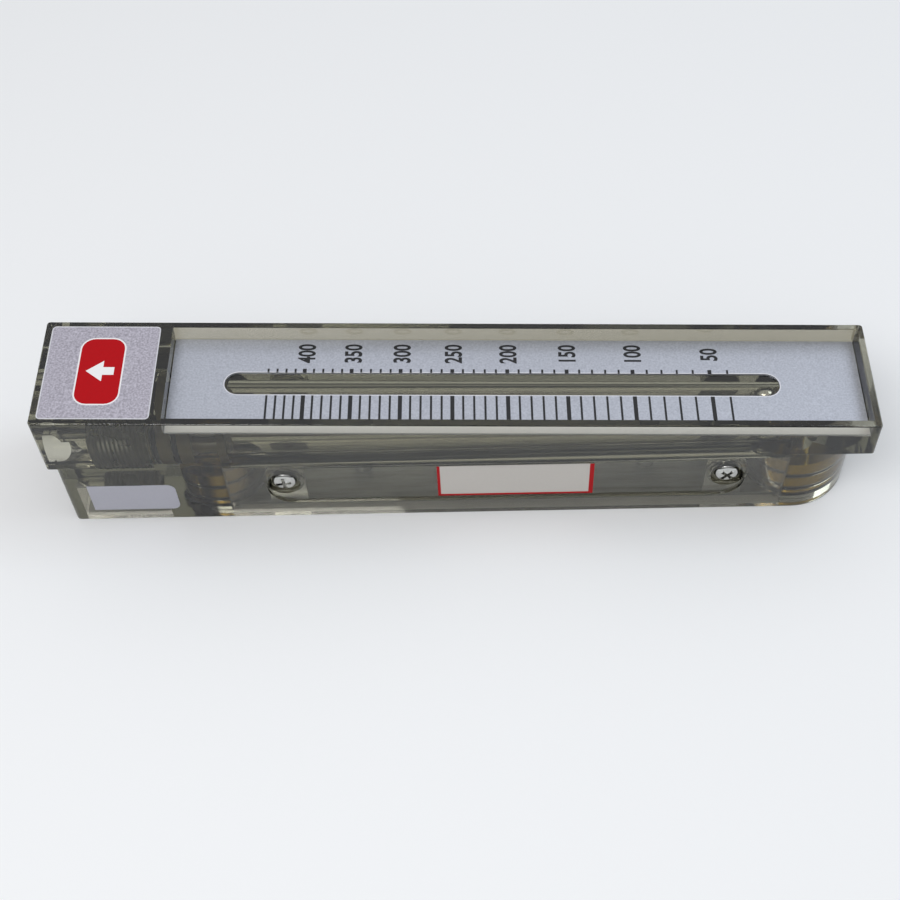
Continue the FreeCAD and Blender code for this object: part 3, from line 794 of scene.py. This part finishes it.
# %% Where a flow is read
FLOW_LOW = 40.0
FLOW_HIGH = 440.0
FLOW_STEP = 10.0
FLOW_MAJOR = 50.0
NUMBERED_FLOWS = range(50, 401, 50)
RISE_GAIN = 4.4065 * MM
RISE_OFFSET = 8.17
RISE_POWER = 0.6772
ZERO_PLACE = 320.3 * MM
INK_DEPTH = 0.03 * MM


def reading_place(flow):
    """Distance of a reading down the scale plate from its top end."""
    return ZERO_PLACE - RISE_GAIN * (flow + RISE_OFFSET) ** RISE_POWER


# %% A Geometry Nodes tree that draws marks
JUST_PAST = 1.0
SMALL_SHARE = 0.1


def mark_tree():
    """Bars beside the slot; a mark whose flow is a multiple of Major is longer and bolder."""
    number = "NodeSocketFloat"
    group = NodeGroup("scale_marks", {
        "Count": ("NodeSocketInt", 10), "First": (number, 40.0), "Step": (number, 10.0),
        "Major": (number, 50.0), "Near": (number, 0.0), "Far": (number, 0.01),
        "Major extra": (number, 0.0), "Thin": (number, 0.0003), "Bold": (number, 0.0006),
    })
    points = group.node("GeometryNodeMeshLine", {"mode": "OFFSET"}, {"Count": group.given("Count")})
    index = group.node("GeometryNodeInputIndex").outputs[0]
    flow = group.math("MULTIPLY_ADD", index, group.given("Step"), group.given("First"))
    past = group.math("DIVIDE", group.math("ADD", flow, JUST_PAST), group.given("Major"))
    is_major = group.math("LESS_THAN", group.math("FRACT", past), SMALL_SHARE)
    power = group.math("POWER", group.math("ADD", flow, RISE_OFFSET), RISE_POWER)
    along = group.math("MULTIPLY_ADD", power, -RISE_GAIN, ZERO_PLACE)
    far = group.math("MULTIPLY_ADD", is_major, group.given("Major extra"), group.given("Far"))
    length = group.math("SUBTRACT", far, group.given("Near"))
    middle = group.math("MULTIPLY", group.math("ADD", far, group.given("Near")), 0.5)
    place = group.node("ShaderNodeCombineXYZ", {}, {"X": along, "Y": middle, "Z": 0.0}).outputs[0]
    moved = group.node("GeometryNodeSetPosition", {}, {"Geometry": points.outputs[0], "Position": place})
    bolder = group.math("SUBTRACT", group.given("Bold"), group.given("Thin"))
    width = group.math("MULTIPLY_ADD", is_major, bolder, group.given("Thin"))
    size = group.node("ShaderNodeCombineXYZ", {}, {"X": width, "Y": length, "Z": 2 * INK_DEPTH}).outputs[0]
    bar = group.node("GeometryNodeMeshCube", {}, {"Size": (1.0, 1.0, 1.0)}).outputs[0]
    bars = group.node("GeometryNodeInstanceOnPoints", {},
                      {"Points": moved.outputs[0], "Instance": bar, "Scale": size})
    group.finish_with(bars.outputs[0], black_ink.material)
    return group


marks = mark_tree()

# %% [markdown]
# ## Marks on both sides of the slot
# Long marks run from the slot to the near edge of the plate, and short ones stand along its far side. Both
# rows are the same tree with other numbers in its sockets.

# %% Marks
SLOT_HALF = 6.45 * MM
MARK_GAP = 0.5 * MM
FAR_MARK_LENGTH = 2.3 * MM
NEAR_MARK_END = -21.3 * MM
mark_count = round((FLOW_HIGH - FLOW_LOW) / FLOW_STEP) + 1
near_marks = marks.run("near_marks", Count=mark_count, First=FLOW_LOW, Step=FLOW_STEP, Major=FLOW_MAJOR,
                       Near=NEAR_MARK_END, Far=-SLOT_HALF - MARK_GAP, Thin=1.0 * MM, Bold=1.9 * MM)
far_marks = marks.run("far_marks", Count=mark_count, First=FLOW_LOW, Step=FLOW_STEP, Major=FLOW_MAJOR,
                      Near=SLOT_HALF, Far=SLOT_HALF + FAR_MARK_LENGTH, Thin=0.95 * MM, Bold=1.8 * MM)
keep(near_marks, "near_marks", None, scale_face)
keep(far_marks, "far_marks", None, scale_face)
print("marks on each side:", mark_count)

# %% [markdown]
# ## A pale margin
# Past the marks, a white band runs along the near edge of the plate and shows as a white line through the
# clear rim.

# %% Margin
MARGIN_END = 0.3 * MM


def plate_margin():
    low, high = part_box("scale_plate")
    length = (high.x - low.x) / scale_face.col[0][0]
    edge = -(high.y - low.y) / 2
    return [Vector(point) for point in ((MARGIN_END, edge), (length - MARGIN_END, edge),
                                        (length - MARGIN_END, NEAR_MARK_END), (MARGIN_END, NEAR_MARK_END))]


# %% [markdown]
# ## Numbers
# The scale is read with the outlet end up, so the numbers stand with their heads towards that end. A text
# object is the simplest way to get clean digits. It becomes a mesh before it is placed on the plate.

# %% Numbers
DIGIT_SIZE = 11.0 * MM
DIGIT_NARROWING = 0.69
DIGIT_WEIGHT = 0.026
NUMBER_MIDDLE = 17.9 * MM
NUMBER_SHIFT = 1.0 * MM
CURVE_STEPS = 6


def text_mesh(text, size, narrowing):
    """Flat digits centred on their own origin, reading along x."""
    curve = bpy.data.curves.new(text, "FONT")
    curve.body = text
    curve.size = size
    curve.align_x = "CENTER"
    curve.align_y = "CENTER"
    curve.extrude = INK_DEPTH
    curve.offset = size * DIGIT_WEIGHT
    curve.resolution_u = CURVE_STEPS
    holder = bpy.data.objects.new(text, curve)
    bpy.context.scene.collection.objects.link(holder)
    mesh = bpy.data.meshes.new_from_object(holder.evaluated_get(bpy.context.evaluated_depsgraph_get()))
    bpy.data.objects.remove(holder)
    mesh.transform(Matrix.Diagonal((narrowing, 1.0, 1.0, 1.0)))
    return mesh


def joined(meshes):
    """One mesh from several."""
    whole = bmesh.new()
    for mesh in meshes:
        whole.from_mesh(mesh)
    result = bpy.data.meshes.new("joined")
    whole.to_mesh(result)
    whole.free()
    return result


def scale_numbers():
    quarter_turn = Matrix.Rotation(math.pi / 2, 4, "Z")
    digits = []
    for flow in NUMBERED_FLOWS:
        mesh = text_mesh(str(flow), DIGIT_SIZE, DIGIT_NARROWING)
        place = Vector((reading_place(flow) + NUMBER_SHIFT, NUMBER_MIDDLE, 0.0))
        mesh.transform(Matrix.Translation(place) @ quarter_turn)
        digits.append(mesh)
    return joined(digits)


keep(scale_numbers(), "scale_numbers", black_ink, scale_face)

# %% [markdown]
# ## Flat printed shapes
# A badge, a border or an arrow is a flat outline with a hair of thickness. One function turns an outline into
# such a plate. Round corners come from a formula, so an outline is only its size and its radius.


# %% Flat shapes
def flat_plate(outline, depth=INK_DEPTH, hole=None):
    """A thin plate with its underside at z = 0; hole is a second outline of as many points."""
    shape = bmesh.new()
    low = [shape.verts.new((x, y, 0.0)) for x, y in outline]
    high = [shape.verts.new((x, y, depth)) for x, y in outline]
    count = len(outline)
    pairs = [(i, (i + 1) % count) for i in range(count)]
    for i, j in pairs:
        shape.faces.new((low[i], low[j], high[j], high[i]))
    if hole is None:
        shape.faces.new(high)
        shape.faces.new(low[::-1])
    else:
        inner_low = [shape.verts.new((x, y, 0.0)) for x, y in hole]
        inner_high = [shape.verts.new((x, y, depth)) for x, y in hole]
        for i, j in pairs:
            shape.faces.new((high[i], high[j], inner_high[j], inner_high[i]))
            shape.faces.new((inner_low[i], inner_low[j], low[j], low[i]))
            shape.faces.new((inner_high[i], inner_high[j], inner_low[j], inner_low[i]))
    bmesh.ops.recalc_face_normals(shape, faces=shape.faces)
    mesh = bpy.data.meshes.new("flat_plate")
    shape.to_mesh(mesh)
    shape.free()
    return mesh


def rounded_rectangle(length, width, radius):
    points = []
    for quarter, (sx, sy) in enumerate(((1, 1), (-1, 1), (-1, -1), (1, -1))):
        centre = Vector((sx * (length / 2 - radius), sy * (width / 2 - radius)))
        for step in range(CURVE_STEPS + 1):
            angle = math.radians(90 * (quarter + step / CURVE_STEPS))
            points.append(centre + radius * Vector((math.cos(angle), math.sin(angle))))
    return points


keep(flat_plate(plate_margin()), "scale_margin", white_ink, scale_face)

# %% [markdown]
# ## The badge on the name plate
# The name plate carries a red badge with a pale outline. Here it holds only an arrow that shows which way the
# flow rises.

# %% Badge
BADGE_PLACE = Vector((25.4, 0.5)) * MM
BADGE_LENGTH = 20.0 * MM
BADGE_WIDTH = 38.0 * MM
BADGE_RADIUS = 6.0 * MM
BADGE_LINE = 0.7 * MM
ARROW_LENGTH = 13.0 * MM
ARROW_WIDTH = 12.0 * MM
ARROW_SHAFT = 4.5 * MM
ARROW_NECK = 0.1


def arrow(length, width, shaft):
    """An arrow that points towards the top end, along -x."""
    neck = length * ARROW_NECK
    half = length / 2
    return [Vector(point) for point in (
        (-half, 0.0), (neck, -width / 2), (neck, -shaft / 2), (half, -shaft / 2),
        (half, shaft / 2), (neck, shaft / 2), (neck, width / 2))]


badge_place = name_face @ Matrix.Translation((*BADGE_PLACE, 0.0))
lifted = badge_place @ Matrix.Translation((0.0, 0.0, INK_DEPTH))
outer = rounded_rectangle(BADGE_LENGTH + 2 * BADGE_LINE, BADGE_WIDTH + 2 * BADGE_LINE,
                          BADGE_RADIUS + BADGE_LINE)
inner = rounded_rectangle(BADGE_LENGTH, BADGE_WIDTH, BADGE_RADIUS)
keep(flat_plate(inner), "badge", red_ink, badge_place)
keep(flat_plate(outer, hole=inner), "badge_outline", white_ink, badge_place)
keep(flat_plate(arrow(ARROW_LENGTH, ARROW_WIDTH, ARROW_SHAFT)), "badge_arrow", white_ink, lifted)

# %% [markdown]
# ## Borders
# The blank label in the side panel has a red border on three sides. The name plate and the slot of the scale
# have a pale edge where the anodising was cut through, and each of these is a flat outline with a hole.

# %% Borders
LABEL_LINE = 1.4 * MM
END_LINE = 2.1 * MM
EDGE_LINE = 0.5 * MM
NAME_CORNER = 2.0 * MM
SHARPEST_CORNER = 0.05 * MM
SLOT_TOP_X = -107.5 * MM
SLOT_BOTTOM_X = 150.5 * MM


def frame_shape(length, width, radius, line):
    """A flat border that lies just inside a rounded rectangle."""
    inner_radius = max(radius - line, SHARPEST_CORNER)
    return flat_plate(rounded_rectangle(length, width, radius),
                      hole=rounded_rectangle(length - 2 * line, width - 2 * line, inner_radius))


def label_frame(length, width):
    """A border along the two ends and the lower edge of the label, broader at the bottom end."""
    left, right, low, high = -length / 2, length / 2, -width / 2, width / 2
    inner_left, inner_right, inner_low = left + LABEL_LINE, right - END_LINE, low + LABEL_LINE
    return flat_plate([Vector(point) for point in (
        (left, high), (left, low), (right, low), (right, high), (inner_right, high),
        (inner_right, inner_low), (inner_left, inner_low), (inner_left, high))])


label_low, label_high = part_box("side_label")
label_middle = (label_low + label_high) / 2
label_face = (Matrix.Translation((label_middle.x, label_low.y, label_middle.z))
              @ Matrix.Rotation(math.pi / 2, 4, "X"))
label_border = label_frame(label_high.x - label_low.x, label_high.z - label_low.z)
keep(label_border, "label_border", red_ink, label_face)


def along_plate(name):
    """How long a sloping plate is, measured on its own face."""
    low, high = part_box(name)
    return (high.x - low.x) / sloping_face(name).col[0][0]


name_low, name_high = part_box("name_plate")
name_border = frame_shape(along_plate("name_plate"), name_high.y - name_low.y, NAME_CORNER, EDGE_LINE)
keep(name_border, "name_plate_edge", bare_metal,
     name_face @ Matrix.Translation((along_plate("name_plate") / 2, 0.0, 0.0)))
slot_start, slot_end = ((x - scale_face.translation.x) / scale_face.col[0][0]
                        for x in (SLOT_TOP_X, SLOT_BOTTOM_X))
slot_border = frame_shape(slot_end - slot_start + 2 * EDGE_LINE, 2 * (SLOT_HALF + EDGE_LINE),
                          SLOT_HALF + EDGE_LINE, EDGE_LINE)
keep(slot_border, "slot_edge", bare_metal,
     scale_face @ Matrix.Translation(((slot_start + slot_end) / 2, 0.0, 0.0)))

# %% [markdown]
# ## Floor, lamps and surroundings
# The floor is pale and plain, and light comes from a wide soft sky with two large lamps: a plain one from the
# near side and a cooler one from the bottom end. The sky is darker near the horizon, because a clear solid
# shows its edges only where it bends something dark into view.

# %% Floor
FLOOR_HALF = 4.0
FLOOR_DROP = 0.2 * MM


def make_floor():
    mesh = bpy.data.meshes.new("floor")
    corners = [(x * FLOOR_HALF, y * FLOOR_HALF, -FLOOR_DROP) for x, y in ((-1, -1), (1, -1), (1, 1), (-1, 1))]
    mesh.from_pydata(corners, [], [(0, 1, 2, 3)])
    floor = bpy.data.objects.new("floor", mesh)
    bpy.context.scene.collection.objects.link(floor)
    finish = Finish("pale_floor")
    finish.surface(Base_Color=(0.88, 0.88, 0.88), Roughness=0.9)
    assign(floor, finish)
    return floor


make_floor()

# %% Lamps and sky
HORIZON_TO = 0.08
ZENITH_FROM = 0.8


def soft_lamp(name, place, size, power, colour=(1.0, 1.0, 1.0)):
    data = bpy.data.lights.new(name, "AREA")
    data.shape = "RECTANGLE"
    data.size, data.size_y = size
    data.energy = power
    data.color = colour
    lamp = bpy.data.objects.new(name, data)
    lamp.location = place
    lamp.rotation_euler = (-Vector(place)).to_track_quat("-Z", "Y").to_euler()
    bpy.context.scene.collection.objects.link(lamp)
    return lamp


soft_lamp("key_lamp", (-0.5, -0.7, 1.4), (0.9, 0.7), 9.0)
soft_lamp("window_lamp", (1.0, 0.2, 1.5), (0.8, 0.8), 6.0, (0.80, 0.90, 1.0))


def make_sky(horizon, zenith):
    world = bpy.data.worlds.new("soft_sky")
    bpy.context.scene.world = world
    world.use_nodes = True
    tree = world.node_tree
    place = tree.nodes.new("ShaderNodeTexCoord")
    split = tree.nodes.new("ShaderNodeSeparateXYZ")
    ramp = tree.nodes.new("ShaderNodeValToRGB")
    ramp.color_ramp.elements[0].position = HORIZON_TO
    ramp.color_ramp.elements[0].color = (*horizon, 1.0)
    ramp.color_ramp.elements[1].position = ZENITH_FROM
    ramp.color_ramp.elements[1].color = (*zenith, 1.0)
    tree.links.new(place.outputs["Generated"], split.inputs[0])
    tree.links.new(split.outputs["Z"], ramp.inputs[0])
    tree.links.new(ramp.outputs[0], tree.nodes["Background"].inputs["Color"])
    tree.nodes["Background"].inputs["Strength"].default_value = 1.0


make_sky((0.03, 0.03, 0.03), (0.76, 0.77, 0.79))
bpy.context.scene.view_settings.view_transform = "Standard"
